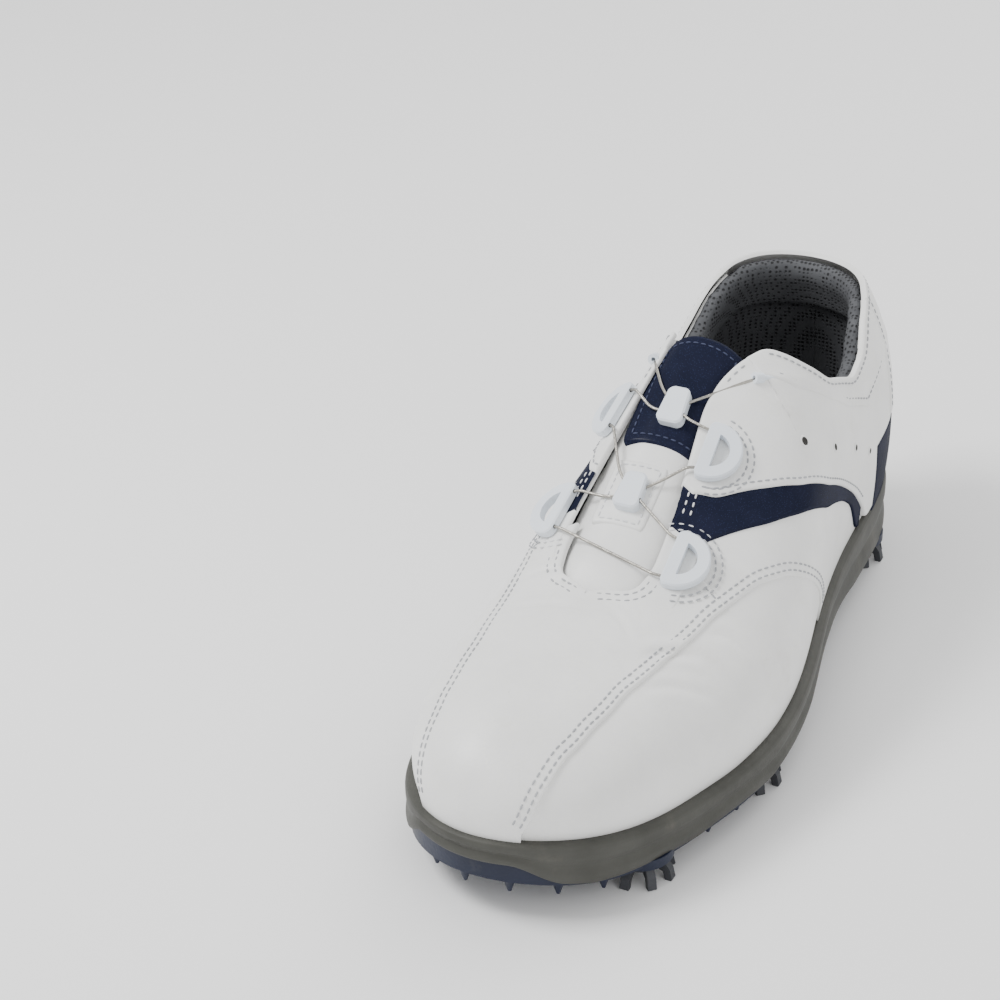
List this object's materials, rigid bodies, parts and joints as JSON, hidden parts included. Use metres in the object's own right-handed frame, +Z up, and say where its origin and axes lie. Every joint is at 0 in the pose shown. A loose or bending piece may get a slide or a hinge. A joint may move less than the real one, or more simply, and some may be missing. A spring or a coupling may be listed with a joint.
{
  "type": "golf shoe",
  "caption": "Left golf shoe with a layered leather saddle upper, padded tongue and collar, steel lace through D-shaped guides wound by a heel dial, and a spiked sole.",
  "frame": {"origin": "middle of the shoe's box, on the ground under the cleats", "axes": "+Z up, -Y toward the toe, +Y toward the heel, +X the outer (lateral) side of a left shoe"},
  "size_m": [0.1082, 0.3005, 0.1145],
  "materials": {
    "white_leather": "satin, fine grain",
    "navy_leather": "gloss coated",
    "lining_mesh": "matt knitted mesh",
    "stiffener": "matt",
    "padding": "soft padded synthetic",
    "insole_foam": "matt",
    "outsole_tpu": "satin",
    "midsole_tpu": "satin",
    "shank": "satin",
    "cleat_tpu": "satin",
    "receptacle_nylon": "matt",
    "guide_plastic": "satin moulded",
    "steel_lace": "coated steel strand",
    "dial_body": "satin",
    "knob_plastic": "satin",
    "knob_rubber": "matt"
  },
  "bodies": {
    "shoe": {"vamp_panel": "white_leather", "toe_side_panel_lateral": "white_leather", "toe_side_panel_medial": "white_leather", "quarter_panel_lateral": "white_leather", "quarter_panel_medial": "white_leather", "eyestay_lateral": "white_leather", "eyestay_medial": "white_leather", "wing_lateral": "white_leather", "wing_medial": "white_leather", "collar_band_lateral": "white_leather", "collar_band_medial": "white_leather", "heel_panel": "white_leather", "tongue_tab": "white_leather", "saddle_stripe_lateral": "navy_leather", "saddle_stripe_medial": "navy_leather", "heel_patch": "navy_leather", "tongue_top_panel": "navy_leather", "vamp_lining": "lining_mesh", "toe_lining_lateral": "lining_mesh", "toe_lining_medial": "lining_mesh", "quarter_lining_lateral": "lining_mesh", "quarter_lining_medial": "lining_mesh", "heel_lining": "lining_mesh", "collar_lining": "lining_mesh", "tongue_lining": "lining_mesh", "toe_puff": "stiffener", "heel_counter": "stiffener", "lasting_board": "stiffener", "collar_padding": "padding", "tongue_padding": "padding", "insole": "insole_foam", "outsole": "outsole_tpu", "midsole": "midsole_tpu", "shank_plate": "shank", "cleat_receptacles": "receptacle_nylon", "lace_guide_lateral_lower": "guide_plastic", "lace_guide_lateral_upper": "guide_plastic", "lace_guide_medial_upper": "guide_plastic", "lace_guide_medial_lower": "guide_plastic", "tongue_guide_upper": "guide_plastic", "tongue_guide_lower": "guide_plastic", "tunnel_mouths": "guide_plastic", "lace_tube_lateral": "guide_plastic", "lace_tube_medial": "guide_plastic", "lace": "steel_lace", "dial_base": "dial_body", "dial_housing": "dial_body"},
    "cleat_lateral_front_body": {"cleat_lateral_front": "cleat_tpu"},
    "cleat_medial_front_body": {"cleat_medial_front": "cleat_tpu"},
    "cleat_lateral_ball_body": {"cleat_lateral_ball": "cleat_tpu"},
    "cleat_medial_ball_body": {"cleat_medial_ball": "cleat_tpu"},
    "cleat_toe_body": {"cleat_toe": "cleat_tpu"},
    "cleat_lateral_heel_body": {"cleat_lateral_heel": "cleat_tpu"},
    "cleat_medial_heel_body": {"cleat_medial_heel": "cleat_tpu"},
    "lace_spool": {"spool": "dial_body"},
    "dial_carrier": {"detent_ring": "dial_body"},
    "dial_knob": {"knob_core": "knob_plastic", "knob_cap": "knob_plastic", "knob_grip": "knob_rubber"}
  },
  "joints": [
    {"name": "cleat_lateral_front_twist", "type": "hinge", "parent": "shoe", "child": "cleat_lateral_front_body", "pos_m": [0.029, -0.108, 0.0095], "axis": [0, 0, 1], "range_deg": [-60, 0]},
    {"name": "cleat_medial_front_twist", "type": "hinge", "parent": "shoe", "child": "cleat_medial_front_body", "pos_m": [-0.03, -0.099, 0.0095], "axis": [0, 0, 1], "range_deg": [-60, 0]},
    {"name": "cleat_lateral_ball_twist", "type": "hinge", "parent": "shoe", "child": "cleat_lateral_ball_body", "pos_m": [0.041, -0.047, 0.0095], "axis": [0, 0, 1], "range_deg": [-60, 0]},
    {"name": "cleat_medial_ball_twist", "type": "hinge", "parent": "shoe", "child": "cleat_medial_ball_body", "pos_m": [-0.033, -0.05, 0.0095], "axis": [0, 0, 1], "range_deg": [-60, 0]},
    {"name": "cleat_toe_twist", "type": "hinge", "parent": "shoe", "child": "cleat_toe_body", "pos_m": [-0.004, -0.112, 0.0095], "axis": [0, 0, 1], "range_deg": [-60, 0]},
    {"name": "cleat_lateral_heel_twist", "type": "hinge", "parent": "shoe", "child": "cleat_lateral_heel_body", "pos_m": [0.024, 0.104, 0.0095], "axis": [0, 0, 1], "range_deg": [-60, 0]},
    {"name": "cleat_medial_heel_twist", "type": "hinge", "parent": "shoe", "child": "cleat_medial_heel_body", "pos_m": [-0.021, 0.104, 0.0095], "axis": [0, 0, 1], "range_deg": [-60, 0]},
    {"name": "spool_turn", "type": "hinge", "parent": "shoe", "child": "lace_spool", "pos_m": [-0.00505, 0.13581, 0.08388], "axis": [0, 0.9945, 0.1045], "continuous": true},
    {"name": "dial_pull", "type": "slide", "parent": "shoe", "child": "dial_carrier", "axis": [0, 0.9945, 0.1045], "range_m": [0, 0.0025]},
    {"name": "dial_turn", "type": "hinge", "parent": "dial_carrier", "child": "dial_knob", "pos_m": [-0.00505, 0.13581, 0.08388], "axis": [0, 0.9945, 0.1045], "continuous": true}
  ],
  "couplings": [
    {"joint": "spool_turn", "follows": "dial_turn", "ratio": 1}
  ]
}
